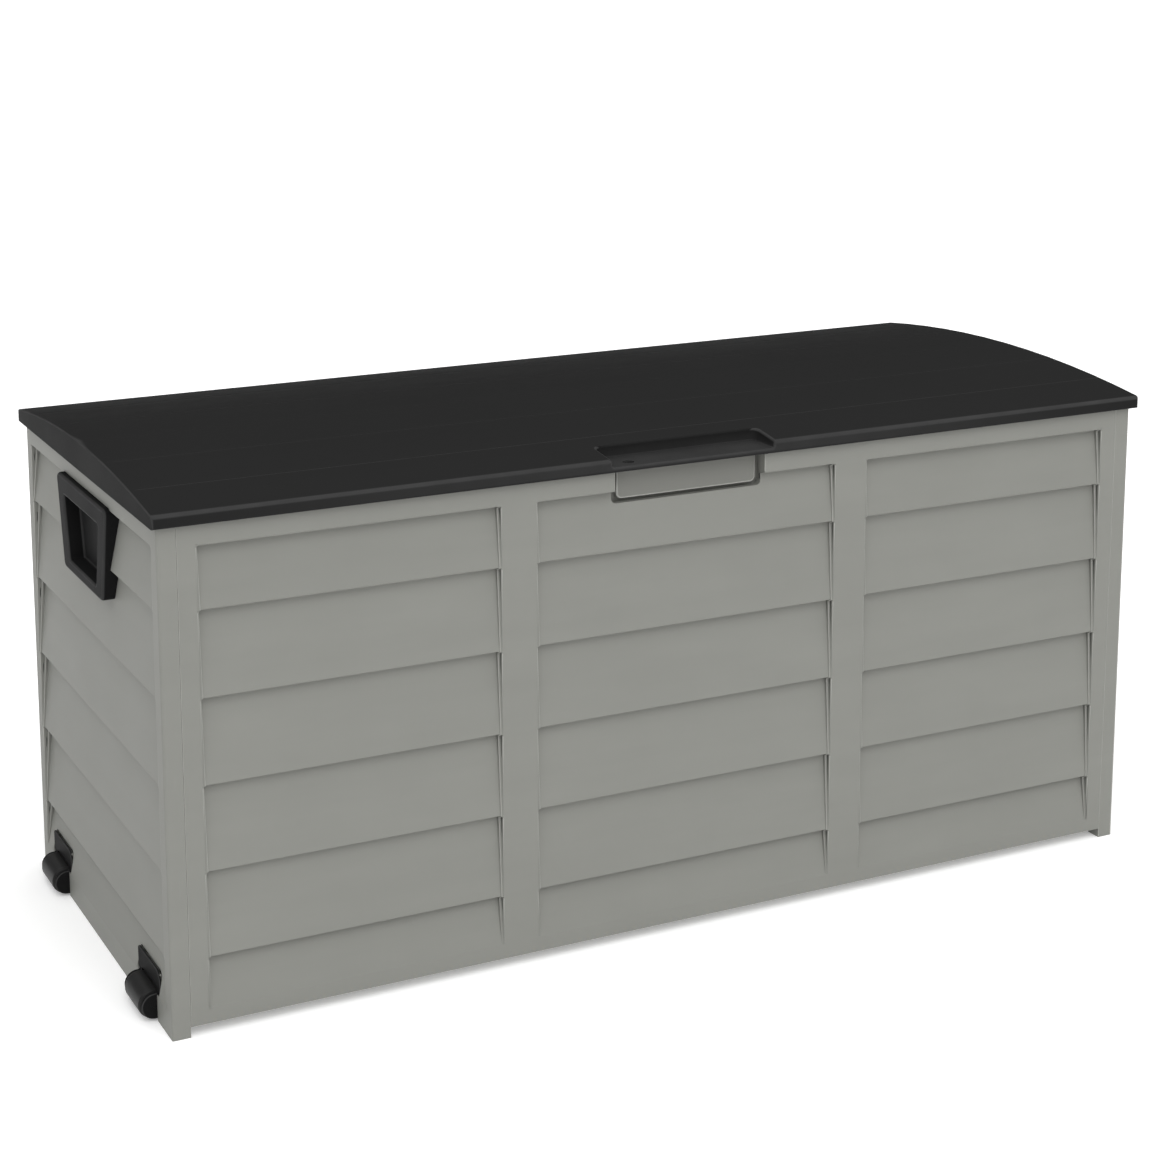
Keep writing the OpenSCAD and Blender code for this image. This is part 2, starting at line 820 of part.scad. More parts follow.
// ---- Rollers ----
// Outline of a bracket's plate grown by a margin, with the radii of its upper corners.
module bracket_outline(grow, right, left) {
    half = bracket_half + grow;
    rounded_outline(
        [[-half, plate_low - grow], [half, plate_low - grow],
         [half, bracket_top + grow], [-half, bracket_top + grow]],
        [4 + grow, 4 + grow, right + grow, left + grow]
    );
}

module roller_bracket() {
    inner_end = -inner_x - joint_gap;
    difference() {
        union() {
            // Cheeks and housing.
            along_y(-cheek_half, cheek_half) {
                translate([axis_x, axis_z]) circle(cheek_radius);
                polygon([
                    [axis_x, axis_z - cheek_radius], [inner_end, axis_z - cheek_radius],
                    [inner_end, axis_z + cheek_radius], [axis_x, axis_z + cheek_radius]
                ]);
            }
            block([plate_seat, -cheek_half, axis_z], [inner_end, cheek_half, housing_top]);
            // Plate against the end panel.
            along_x(plate_face, plate_seat) bracket_outline(0, bracket_rear_corner, bracket_corner);
            for (b = [-1, 1]) {
                rod_x(boss_radius, b * boss_at[0], boss_at[1], plate_seat - past, boss_end);
            }
        }
        block([axis_x - roller_radius * 2, -well_half, -past], [well_back, well_half, well_top]);
        rod_y(axle_radius + axle_clearance / 2, axis_x, axis_z, -axle_half, axle_half);
        for (b = [-1, 1]) {
            rod_x(screw_radius + screw_clearance / 2, b * boss_at[0], boss_at[1], plate_seat + 1, boss_end + past);
        }
    }
}

module roller() {
    r = roller_radius;
    half = roller_length / 2;
    translate([axis_x, 0, axis_z]) rotate([90, 0, 0]) difference() {
        union() {
            translate([0, 0, -half]) cylinder(r = r - roller_round, h = 2 * half);
            translate([0, 0, roller_round - half]) cylinder(r = r, h = 2 * (half - roller_round));
            for (s = [-1, 1]) {
                translate([0, 0, s * (half - roller_round)]) rotate_extrude()
                    translate([r - roller_round, 0]) circle(roller_round);
            }
        }
        translate([0, 0, -half - past]) cylinder(r = axle_radius + axle_clearance, h = roller_length + 2 * past);
    }
}

module roller_axle() {
    rod_y(axle_radius, axis_x, axis_z, -axle_half, axle_half);
}

module front_roller_bracket() {
    color(LID_COLOUR) translate([0, -roller_place, 0]) roller_bracket();
}

module rear_roller_bracket() {
    color(LID_COLOUR) translate([0, roller_place, 0]) roller_bracket();
}

module front_roller() {
    color(LID_COLOUR) translate([0, -roller_place, 0]) roller();
}

module rear_roller() {
    color(LID_COLOUR) translate([0, roller_place, 0]) roller();
}

module front_roller_axle() {
    color(STEEL_COLOUR) translate([0, -roller_place, 0]) roller_axle();
}

module rear_roller_axle() {
    color(STEEL_COLOUR) translate([0, roller_place, 0]) roller_axle();
}

module roller_bracket_screws() {
    color(STEEL_COLOUR) for (s = [-1, 1]) for (b = [-1, 1]) {
        y = s * roller_place + b * boss_at[0];
        translate([boss_end, y, boss_at[1]]) rotate([0, 90, 0]) {
            cylinder(r = screw_head + 1.5, h = screw_head_height);
            translate([0, 0, -7]) cylinder(r = screw_radius, h = 7);
        }
    }
}

// ---- Hinges ----
// Screw places of the hinge brackets, as [x, z].
function hinge_screw_places() = [for (x = hinge_xs) for (s = [-1, 1])
    [x + s * hinge_screw_at, hinge_screw_z]];

module hinge_bracket(x) {
    top = skirt_bottom + 6;
    plate_back = half_y;
    color(LID_COLOUR) difference() {
        union() {
            block(
                [x - hinge_plate_half, plate_back, hinge_z - 11],
                [x + hinge_plate_half, plate_back + hinge_plate, top]
            );
            for (s = [-1, 1]) {
                x0 = x + (s > 0 ? ear_in : -ear_out);
                rod_x(barrel_radius, hinge_y, hinge_z, x0, x0 + hinge_ear);
                block(
                    [x0, plate_back, hinge_z - barrel_radius],
                    [x0 + hinge_ear, hinge_y, hinge_z + barrel_radius]
                );
            }
        }
        rod_x(pin_radius + pin_clearance, hinge_y, hinge_z, x - ear_out - past, x + ear_out + past);
        for (s = [-1, 1]) {
            translate([x + s * hinge_screw_at, plate_back - past, hinge_screw_z]) rotate([-90, 0, 0])
                cylinder(r = screw_radius + screw_clearance, h = hinge_plate + 2 * past);
        }
    }
}

module hinge_pin(x) {
    color(STEEL_COLOUR) {
        rod_x(pin_radius, hinge_y, hinge_z, x - ear_out, x + ear_out);
        rod_x(pin_radius + 1.5, hinge_y, hinge_z, x - ear_out - 1.5, x - ear_out);
    }
}

module left_hinge_bracket() {
    hinge_bracket(hinge_xs[0]);
}

module middle_hinge_bracket() {
    hinge_bracket(hinge_xs[1]);
}

module right_hinge_bracket() {
    hinge_bracket(hinge_xs[2]);
}

module left_hinge_pin() {
    hinge_pin(hinge_xs[0]);
}

module middle_hinge_pin() {
    hinge_pin(hinge_xs[1]);
}

module right_hinge_pin() {
    hinge_pin(hinge_xs[2]);
}

module hinge_screws() {
    color(STEEL_COLOUR) for (p = hinge_screw_places()) {
        translate([p[0], half_y + hinge_plate, p[1]]) rotate([-90, 0, 0]) {
            cylinder(r = screw_head, h = screw_head_height / 2);
            translate([0, 0, -hinge_plate - 6]) cylinder(r = screw_radius, h = hinge_plate + 6);
        }
    }
}

front_panel();
back_panel();
left_end_panel();
right_end_panel();
base_panel();
lid();
lock_bracket();
lock_bracket_screws();
left_handle();
left_handle_screws();
right_handle();
right_handle_screws();
front_roller_bracket();
rear_roller_bracket();
front_roller();
rear_roller();
front_roller_axle();
rear_roller_axle();
roller_bracket_screws();
left_hinge_bracket();
middle_hinge_bracket();
right_hinge_bracket();
left_hinge_pin();
middle_hinge_pin();
right_hinge_pin();
hinge_screws();
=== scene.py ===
import json
import math

import bmesh
import bpy
from mathutils import Euler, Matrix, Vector
from mathutils.kdtree import KDTree


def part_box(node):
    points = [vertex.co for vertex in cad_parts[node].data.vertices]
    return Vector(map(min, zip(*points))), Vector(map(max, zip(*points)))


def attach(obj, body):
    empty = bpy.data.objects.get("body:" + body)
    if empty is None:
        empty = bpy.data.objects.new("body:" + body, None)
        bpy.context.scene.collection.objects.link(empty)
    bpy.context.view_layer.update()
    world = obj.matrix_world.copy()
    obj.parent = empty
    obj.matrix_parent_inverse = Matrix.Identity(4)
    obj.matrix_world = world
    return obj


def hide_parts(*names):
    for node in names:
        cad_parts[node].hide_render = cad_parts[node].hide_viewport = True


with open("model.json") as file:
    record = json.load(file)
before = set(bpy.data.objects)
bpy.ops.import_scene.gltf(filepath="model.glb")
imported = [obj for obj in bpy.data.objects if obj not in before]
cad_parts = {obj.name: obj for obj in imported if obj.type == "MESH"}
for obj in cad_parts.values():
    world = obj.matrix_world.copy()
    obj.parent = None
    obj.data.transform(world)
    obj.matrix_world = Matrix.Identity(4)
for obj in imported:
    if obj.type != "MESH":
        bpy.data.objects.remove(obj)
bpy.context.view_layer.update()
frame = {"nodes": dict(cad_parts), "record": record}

MM = 0.001


# ---- Materials -------------------------------------------------------------

class Nodes:
    """A short hand for building a material's node tree."""

    def __init__(self, name):
        self.material = bpy.data.materials.new(name)
        self.material.use_nodes = True
        self.tree = self.material.node_tree
        self.shader = self.tree.nodes["Principled BSDF"]
        self.place = self.add("ShaderNodeTexCoord").outputs["Object"]

    def add(self, kind, **settings):
        node = self.tree.nodes.new(kind)
        for key, value in settings.items():
            setattr(node, key, value)
        return node

    def link(self, source, target):
        self.tree.links.new(source, target)

    def stretched(self, scale):
        mapping = self.add("ShaderNodeMapping")
        mapping.inputs["Scale"].default_value = scale
        self.link(self.place, mapping.inputs["Vector"])
        return mapping.outputs["Vector"]

    def noise(self, scale, detail=2.0, rough=0.5, vector=None):
        node = self.add("ShaderNodeTexNoise")
        node.inputs["Scale"].default_value = scale
        node.inputs["Detail"].default_value = detail
        node.inputs["Roughness"].default_value = rough
        self.link(vector or self.place, node.inputs["Vector"])
        return node.outputs["Fac"]

    def remap(self, value, from_low, from_high, to_low, to_high):
        node = self.add("ShaderNodeMapRange", clamp=True)
        for name, number in (("From Min", from_low), ("From Max", from_high),
                             ("To Min", to_low), ("To Max", to_high)):
            node.inputs[name].default_value = number
        self.link(value, node.inputs["Value"])
        return node.outputs["Result"]

    def math(self, operation, a, b):
        node = self.add("ShaderNodeMath", operation=operation)
        for socket, value in zip(node.inputs, (a, b)):
            if isinstance(value, (int, float)):
                socket.default_value = value
            else:
                self.link(value, socket)
        return node.outputs["Value"]

    def mix(self, factor, a, b):
        node = self.add("ShaderNodeMix", data_type="RGBA")
        self.link(factor, node.inputs["Factor"])
        for name, value in (("A", a), ("B", b)):
            sockets = [s for s in node.inputs if s.name == name and s.type == "RGBA"]
            if isinstance(value, tuple):
                sockets[0].default_value = (*value, 1.0)
            else:
                self.link(value, sockets[0])
        return [s for s in node.outputs if s.type == "RGBA"][0]

    def bump(self, height, strength, distance, below=None):
        node = self.add("ShaderNodeBump")
        node.inputs["Strength"].default_value = strength
        node.inputs["Distance"].default_value = distance
        self.link(height, node.inputs["Height"])
        if below is not None:
            self.link(below, node.inputs["Normal"])
        return node.outputs["Normal"]

    def finish(self, colour, roughness, normal, specular=0.5, metallic=0.0):
        self.link(colour, self.shader.inputs["Base Color"])
        self.link(roughness, self.shader.inputs["Roughness"])
        self.link(normal, self.shader.inputs["Normal"])
        self.shader.inputs["Specular IOR Level"].default_value = specular
        self.shader.inputs["Metallic"].default_value = metallic
        return self.material


def moulded_plastic(name, colour, worn, roughness, specular, grain, painted_highlight):
    """Grained polypropylene: fine texture, mottling, flow marks, light scuffs, and a painted
    highlight where the edge attribute is set.
    """
    n = Nodes(name)
    edge = n.add("ShaderNodeAttribute", attribute_name="edge").outputs["Fac"]
    edge = n.math("MULTIPLY", edge, n.remap(n.noise(25), 0.3, 0.7, 0.75, 1.0))
    fine = n.noise(1400, 3.0, 0.6)
    mottle = n.noise(9, 4.0, 0.55)
    flow = n.noise(6, 3.0, 0.5, n.stretched((1.0, 1.0, 7.0)))
    scratch = n.noise(55, 2.0, 0.7, n.stretched((6.0, 6.0, 0.6)))
    scuff = n.remap(scratch, 0.68, 0.86, 0.0, 0.35)
    tone = n.math("ADD", n.remap(mottle, 0.3, 0.7, 0.0, 0.5),
                  n.remap(flow, 0.3, 0.7, 0.0, 0.5))
    dark = tuple(c * 0.96 for c in colour)
    light = tuple(c * 1.03 for c in colour)
    base = n.mix(n.math("MULTIPLY", scuff, 0.35), n.mix(tone, dark, light), worn)
    # painted highlight: where the edge attribute is set, the colour is mixed towards the
    # material's lighter last colour
    base = n.mix(edge, base, painted_highlight)
    rough = n.math("ADD", n.remap(mottle, 0.25, 0.75, roughness - 0.05, roughness + 0.05),
                   n.math("MULTIPLY", scuff, 0.12))
    rough = n.math("SUBTRACT", rough, n.math("MULTIPLY", edge, 0.08))
    normal = n.bump(fine, grain, 0.12 * MM)
    normal = n.bump(n.noise(160, 2.0), grain * 0.4, 0.25 * MM, normal)
    return n.finish(base, rough, normal, specular)


def zinc_steel(name):
    """Zinc-plated steel with fine drawn lines and dull patches."""
    n = Nodes(name)
    lines = n.noise(900, 2.0, 0.6, n.stretched((0.2, 1.0, 1.0)))
    patch = n.noise(120, 3.0)
    bright, dull = (0.62, 0.62, 0.64), (0.45, 0.45, 0.46)
    colour = n.mix(n.remap(patch, 0.35, 0.7, 0.0, 1.0), bright, dull)
    rough = n.remap(patch, 0.3, 0.7, 0.28, 0.45)
    return n.finish(colour, rough, n.bump(lines, 0.25, 0.05 * MM), 0.5, 1.0)


# The last colour of each material is painted on as a highlight wherever the edge attribute is set.
PANEL = moulded_plastic(
    "panel_plastic", colour=(0.232, 0.234, 0.215), worn=(0.31, 0.31, 0.29),
    roughness=0.50, specular=0.15, grain=0.20, painted_highlight=(0.420, 0.422, 0.395))
PLATE = moulded_plastic(
    "lock_plate_plastic", colour=(0.180, 0.181, 0.166), worn=(0.26, 0.26, 0.24),
    roughness=0.50, specular=0.15, grain=0.20, painted_highlight=(0.360, 0.362, 0.340))
LID = moulded_plastic(
    "lid_plastic", colour=(0.0170, 0.0170, 0.0169), worn=(0.037, 0.037, 0.037),
    roughness=0.52, specular=0.015, grain=0.25, painted_highlight=(0.046, 0.046, 0.046))
BLACK = moulded_plastic(
    "black_plastic", colour=(0.0125, 0.0125, 0.0127), worn=(0.03, 0.03, 0.03),
    roughness=0.48, specular=0.015, grain=0.15, painted_highlight=(0.050, 0.050, 0.050))
ROLLER = moulded_plastic(
    "roller_plastic", colour=(0.0200, 0.0200, 0.0198), worn=(0.05, 0.05, 0.045),
    roughness=0.40, specular=0.12, grain=0.20, painted_highlight=(0.045, 0.045, 0.045))
ZINC = zinc_steel("zinc_steel")
SLOT_MATERIAL = {
    "panel_plastic": PANEL, "lid_plastic": LID, "black_plastic": BLACK,
    "roller_plastic": ROLLER, "zinc_steel": ZINC,
}
NODE_SLOT = {s["node"]: s["material_slot"] for s in frame["record"]["subparts"]}
NODE_BODY = {n: b for b, ns in frame["record"]["behaviour"]["bodies"].items() for n in ns}


# ---- Pieces ----------------------------------------------------------------

SHARP = math.radians(26)
FLAT = math.radians(0.3)
WELD = 2e-6
BEVELLED = 1


def material_of(node):
    """The slot's material, but the lock plate is a darker grey than the panels."""
    return PLATE if node == "lock_bracket" else SLOT_MATERIAL[NODE_SLOT[node]]


def new_piece(name, bm, node):
    """A finished piece made from bm, which stands for the CAD node."""
    mesh = bpy.data.meshes.new(name)
    bm.to_mesh(mesh)
    bm.free()
    mesh.shade_smooth()
    obj = bpy.data.objects.new(name, mesh)
    bpy.context.collection.objects.link(obj)
    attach(obj, NODE_BODY[node])
    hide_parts(node)
    return obj


def cad_mesh(node, whole=None):
    """The CAD node's mesh, welded, its flat faces made whole where whole(point) is true."""
    bm = bmesh.new()
    bm.from_mesh(frame["nodes"][node].data)
    bmesh.ops.remove_doubles(bm, verts=bm.verts, dist=WELD)
    verts = [v for v in bm.verts if whole is None or whole(v.co)]
    chosen = set(verts)
    edges = [e for e in bm.edges if chosen.issuperset(e.verts)]
    bmesh.ops.dissolve_limit(bm, angle_limit=FLAT, verts=verts, edges=edges)
    bm.normal_update()
    return bm


def near(a, b, reach=0.05 * MM):
    return abs(a - b) < reach


def span(node):
    """The lowest and highest corner of the CAD node's box."""
    low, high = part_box(node)
    return Vector(low), Vector(high)


def edge_radii(bm, radius_of):
    """Stores radius_of(middle, direction) for every sharp edge, as a share of the largest."""
    layer = bm.edges.layers.float.new("bevel_weight_edge")
    radii = {}
    for edge in bm.edges:
        if len(edge.link_faces) == 2 and edge.calc_face_angle(0) > SHARP:
            a, b = (v.co for v in edge.verts)
            radii[edge] = radius_of((a + b) / 2, (b - a).normalized())
    largest = max(radii.values())
    for edge, radius in radii.items():
        edge[layer] = radius / largest
    return largest


def round_edges(obj, width, segments, material):
    """Rounds the weighted edges, and marks them where the material paints a highlight."""
    for _ in range(2):
        obj.data.materials.append(material)
    bevel = obj.modifiers.new("edges", "BEVEL")
    bevel.width = width
    bevel.segments = segments
    bevel.limit_method = "WEIGHT"
    bevel.use_clamp_overlap = False
    bevel.miter_outer = "MITER_ARC"
    bevel.material = BEVELLED
    graph = bpy.context.evaluated_depsgraph_get()
    mesh = bpy.data.meshes.new_from_object(obj.evaluated_get(graph), depsgraph=graph)
    obj.modifiers.clear()
    obj.data = mesh
    mark_edges(mesh)
    mesh.materials.pop()
    normals = obj.modifiers.new("normals", "WEIGHTED_NORMAL")
    normals.keep_sharp = True


def mark_edges(mesh):
    """Stores edge = 1 for every point that is inside an outward rounding, else 0: the mask for the
    painted edge highlight.
    """
    bm = bmesh.new()
    bm.from_mesh(mesh)
    layer = bm.verts.layers.float.new("edge")
    for vert in bm.verts:
        if vert.link_faces and all(f.material_index == BEVELLED for f in vert.link_faces):
            away = ((vert.co - e.other_vert(vert).co).normalized() for e in vert.link_edges)
            lean = sum(away, Vector())
            vert[layer] = 1.0 if vert.normal.dot(lean) > 0 else 0.0
    for face in bm.faces:
        face.material_index = 0
    bm.to_mesh(mesh)
    bm.free()


def rounded(node, radius_of, segments=3, bm=None):
    """The node's moulding, its sharp edges rounded by radius_of(middle, direction).

    Rounding can push a point out a little, so every point is kept inside the CAD node's box.
    """
    bm = bm or cad_mesh(node)
    largest = edge_radii(bm, radius_of)
    obj = new_piece(node + "_moulding", bm, node)
    round_edges(obj, largest, segments, material_of(node))
    low, high = span(node)
    for vert in obj.data.vertices:
        vert.co = [min(max(c, a), b) for c, a, b in zip(vert.co, low, high)]
    return obj


def evenly(radius):
    return lambda middle, direction: radius


# ---- Panels ----
# The boards of every bay are drawn again with soft edges. Sizes are in millimetres:
# u runs along the panel, depth goes in from the face of its frame.

BAY_TOP = 478.7
BAY_BOTTOM = 26.0
NOSES = (417.0, 332.0, 247.0, 162.0, 77.0)
LONG_BAYS = ((-515.7, -210.0), (-171.0, 171.0), (210.0, 515.7))
END_BAYS = ((-219.0, 219.0),)
BOARD_DEPTH = 9.7
NOSE_DEPTH = 1.2
STEP_FALL = 3.0
STRIP_WIDTH = 2.2
STRIP_HEIGHT = 4.2
MARGIN = 1.2
FRAME_ROUND = 1.1
STRIP_ROUND = 0.7
INNER_ROUND = 0.7
NOSE_ROUND = 0.9
SILL_ROUND = 10.0
SLAB = 2.0
SLAB_WELD = 1e-6
FAINT = 0.05
CORNER_SHARE = 0.45
TOUCH = 0.1
CUT_REACH = (-5.0, 25.0)
RECESS_HALF = 86.0
RECESS_BOTTOM = 464.2
RECESS_TOP = BAY_TOP + 10
RECESS_CORNER = 6.0
HANDLE_FOOT = (66, 387)
HANDLE_HEAD = (85, 477)
ROLLER_AT = 160.0
HOUSING_HALF = 30.25
HOUSING_FOOT = 10
SEAT_HALF = 36.25
SEAT_FOOT = 26.75
SEAT_HEAD = 50.75
SEAT_CORNER = 4
SEAT_REAR_CORNER = 3
SEAT_FRONT_CORNER = 14

# From here on, sizes are in metres.
OUTER_DEPTH = 10.5 * MM
POST_EDGE = 2.6 * MM
JOINT_EDGE = 0.5 * MM
FACE_EDGE = 0.6 * MM
INNER_EDGE = 0.3 * MM
JOINTS_FROM = 530 * MM
SEATS_TO = 60 * MM
MARK_REACH = 0.02 * MM
BASE_EDGE = 0.5 * MM
LOCK_PLATE_EDGE = 1.9 * MM
SHARP_TURN = math.radians(50)


def soft_corner(a, b, c, radius, steps=4):
    """Points of a rounded corner at b between a and c."""
    a, b, c = Vector(a), Vector(b), Vector(c)
    to_a, to_c = a - b, c - b
    reach = radius / math.tan(to_a.angle(to_c) / 2)
    reach = min(reach, CORNER_SHARE * to_a.length, CORNER_SHARE * to_c.length)
    start, end = b + to_a.normalized() * reach, b + to_c.normalized() * reach
    shares = (k / steps for k in range(steps + 1))
    return [start * (1 - t) ** 2 + b * 2 * t * (1 - t) + end * t ** 2 for t in shares]


def board_corners():
    """Depth, height and radius of every corner down a bay."""
    corners = [(0, BAY_TOP, FRAME_ROUND), (BOARD_DEPTH, BAY_TOP - STEP_FALL, INNER_ROUND)]
    for nose in NOSES:
        corners += [(NOSE_DEPTH, nose, NOSE_ROUND), (BOARD_DEPTH, nose - STEP_FALL, INNER_ROUND)]
    return corners + [(0, BAY_BOTTOM, SILL_ROUND)]


def board_rows():
    """Depth and height down a bay, from the rail above it to the rail below."""
    corners = board_corners()
    points = [(0, BAY_TOP + MARGIN)] + [c[:2] for c in corners] + [(0, BAY_BOTTOM - MARGIN)]
    rows = [Vector(points[0])]
    for k, (_, _, radius) in enumerate(corners):
        rows += soft_corner(points[k], points[k + 1], points[k + 2], radius)
    return rows + [Vector(points[-1])]


def wall_columns(at, side, outer, inner, convex):
    """The way across a bay from one depth down to the next, as (u, depth, painted highlight mark).
    """
    drop = inner - outer
    top, low = min(convex, drop / 2), min(INNER_ROUND, drop / 2)
    turns = [math.radians(22.5 * k) for k in range(5)]
    columns = [(at - side * top * (1 - math.sin(t)), outer + top * (1 - math.cos(t)),
                math.sin(2 * t) * top / convex) for t in turns]
    columns += [(at + side * low * (1 - math.cos(t)), inner - low * (1 - math.sin(t)), 0.0)
                for t in turns]
    return columns


def bay_columns(bay, depth):
    """The surface across a bay at one height, as (u, depth, painted highlight mark)."""
    strip = max(depth - STRIP_HEIGHT, 0.0)
    left = [(bay[0] - MARGIN, 0.0, 0.0)]
    left += wall_columns(bay[0], 1, 0.0, strip, FRAME_ROUND)
    left += wall_columns(bay[0] + STRIP_WIDTH, 1, strip, depth, STRIP_ROUND)
    right = wall_columns(bay[1], -1, 0.0, strip, FRAME_ROUND)[::-1]
    right = wall_columns(bay[1] - STRIP_WIDTH, -1, strip, depth, STRIP_ROUND)[::-1] + right
    return left + right + [(bay[1] + MARGIN, 0.0, 0.0)]


def bay_slab(bay, place, marks):
    """A thin closed slab with the bay's surface in front, the places of its painted highlight
    added to marks.

    place(u, depth, z) gives a point.
    """
    bm = bmesh.new()
    layers = ([], [])
    for row in board_rows():
        columns = bay_columns(bay, row.x)
        for layer, extra in zip(layers, (0.0, SLAB)):
            layer.append([bm.verts.new(place(u, depth + extra, row.y)) for u, depth, _ in columns])
        marks += [(place(u, depth, row.y), mark) for u, depth, mark in columns if mark > FAINT]
    rows, count = len(layers[0]), len(layers[0][0])
    for layer in layers:
        for i in range(rows - 1):
            for j in range(count - 1):
                bm.faces.new((layer[i][j], layer[i][j + 1], layer[i + 1][j + 1], layer[i + 1][j]))
    front, back = layers
    rim = [(0, j) for j in range(count)] + [(i, count - 1) for i in range(1, rows)]
    rim += [(rows - 1, j) for j in range(count - 2, -1, -1)]
    rim += [(i, 0) for i in range(rows - 2, 0, -1)]
    for (i, j), (k, m) in zip(rim, rim[1:] + rim[:1]):
        bm.faces.new((front[i][j], back[i][j], back[k][m], front[k][m]))
    bmesh.ops.dissolve_degenerate(bm, dist=SLAB_WELD, edges=bm.edges)
    bmesh.ops.remove_doubles(bm, verts=bm.verts, dist=SLAB_WELD)
    bmesh.ops.recalc_face_normals(bm, faces=bm.faces)
    return bm


def temporary(bm):
    """An object for a cut, removed again afterwards."""
    mesh = bpy.data.meshes.new("temporary")
    bm.to_mesh(mesh)
    bm.free()
    obj = bpy.data.objects.new("temporary", mesh)
    bpy.context.collection.objects.link(obj)
    return obj


def cut_away(bm, outlines, place):
    """The slab without what lies inside the outlines, given as lists of (u, z)."""
    if not outlines:
        return bm
    slab = temporary(bm)
    for outline in outlines:
        cutter = bmesh.new()
        ends = [[cutter.verts.new(place(u, depth, z)) for u, z in outline] for depth in CUT_REACH]
        for k in range(len(outline)):
            cutter.faces.new((ends[0][k - 1], ends[0][k], ends[1][k], ends[1][k - 1]))
        for end in ends:
            cutter.faces.new(end)
        bmesh.ops.recalc_face_normals(cutter, faces=cutter.faces)
        cut = slab.modifiers.new("cut", "BOOLEAN")
        cut.operation = "DIFFERENCE"
        cut.solver = "EXACT"
        cut.object = temporary(cutter)
    graph = bpy.context.evaluated_depsgraph_get()
    result = bmesh.new()
    result.from_mesh(slab.evaluated_get(graph).to_mesh())
    for cut in list(slab.modifiers):
        bpy.data.objects.remove(cut.object)
    bpy.data.objects.remove(slab)
    return result


def recess_cut():
    """The recess for the lock plate, open to the bay's top."""
    top, corner, foot = (RECESS_HALF, RECESS_TOP), (RECESS_HALF, RECESS_BOTTOM), (0, RECESS_BOTTOM)
    right = [top] + [tuple(p) for p in soft_corner(top, corner, foot, RECESS_CORNER)]
    return right + [(-u, z) for u, z in reversed(right)]


def roller_cut(side):
    """Seat of a roller bracket's plate, round at its front corner, and the way for its housing."""
    half, seat, low, high = HOUSING_HALF, SEAT_HALF, SEAT_FOOT, SEAT_HEAD
    outline = [(-half, low), (-half, HOUSING_FOOT), (half, HOUSING_FOOT), (half, low)]
    outline += soft_corner((half, low), (seat, low), (seat, high), SEAT_CORNER)
    outline += soft_corner((seat, low), (seat, high), (-seat, high), SEAT_REAR_CORNER)
    outline += soft_corner((seat, high), (-seat, high), (-seat, low), SEAT_FRONT_CORNER, 8)
    outline += soft_corner((-seat, high), (-seat, low), (-half, low), SEAT_CORNER)
    return [(side * ROLLER_AT + p[0], p[1]) for p in outline]


def handle_cut():
    """Inside the handle's outline, where the panel is open for its cup."""
    (foot, low), (head, high) = HANDLE_FOOT, HANDLE_HEAD
    return [(-foot, low), (foot, low), (head, high), (-head, high)]


def surface_place(node):
    """The panel's place(u, depth, z), from millimetres to a point."""
    low, high = span(node)
    if node == "front_panel":
        return lambda u, depth, z: Vector((u * MM, low.y + depth * MM, z * MM))
    if node == "back_panel":
        return lambda u, depth, z: Vector((u * MM, high.y - depth * MM, z * MM))
    if node == "left_end_panel":
        return lambda u, depth, z: Vector((low.x + depth * MM, u * MM, z * MM))
    return lambda u, depth, z: Vector((high.x - depth * MM, u * MM, z * MM))


def board_depth(z):
    """Depth of the CAD's boards, which have no roundings, at a height."""
    corners = board_corners()
    for (d0, z0, _), (d1, z1, _) in zip(corners, corners[1:]):
        if z1 <= z <= z0:
            return d0 + (d1 - d0) * (z0 - z) / (z0 - z1)
    return 0.0


def open_bays(bm, bays, along, depth_of):
    """Removes the CAD's own bay surfaces and widens their rims by the margin."""
    def within(value, low, high):
        return low - TOUCH < value < high + TOUCH

    def meets(a, b):
        return abs(a - b) < TOUCH

    def on_rim(u, z):
        at_side = any(meets(u, end) for bay in bays for end in bay)
        return at_side or meets(z, BAY_TOP) or meets(z, BAY_BOTTOM)

    def on_surface(vert):
        u, z, depth = vert.co[along] / MM, vert.co.z / MM, depth_of(vert.co) / MM
        if not within(z, BAY_BOTTOM, BAY_TOP) or not any(within(u, *bay) for bay in bays):
            return False
        board = board_depth(min(max(z, BAY_BOTTOM), BAY_TOP))
        strip = max(board - STRIP_HEIGHT, 0.0)
        return meets(depth, board) or meets(depth, strip) or (depth < TOUCH and on_rim(u, z))

    def flat(face):
        return all(depth_of(v.co) / MM < TOUCH for v in face.verts)

    gone = [f for f in bm.faces if not flat(f) and all(on_surface(v) for v in f.verts)]
    bmesh.ops.delete(bm, geom=gone, context="FACES")
    for vert in bm.verts:
        u, z = vert.co[along] / MM, vert.co.z / MM
        if depth_of(vert.co) / MM > TOUCH or not within(z, BAY_BOTTOM, BAY_TOP):
            continue
        for low, high in bays:
            if within(u, low, high):
                vert.co[along] += MARGIN * MM * (meets(u, high) - meets(u, low))
                vert.co.z += MARGIN * MM * (meets(z, BAY_TOP) - meets(z, BAY_BOTTOM))


def panel_radius(node, along, depth_of):
    """Soft outer corners on the end panels' posts; small radii elsewhere."""
    high = span(node)[1]

    def radius_of(middle, direction):
        depth = depth_of(middle)
        upright = abs(direction.z) > 0.9
        if along == 1 and upright and abs(middle.y) > high.y - MM:
            return POST_EDGE if depth < MM else JOINT_EDGE
        if along == 0 and upright and depth < MM and abs(middle.x) > JOINTS_FROM:
            return JOINT_EDGE
        return INNER_EDGE if middle.z < SEATS_TO or depth > MM else FACE_EDGE

    return radius_of


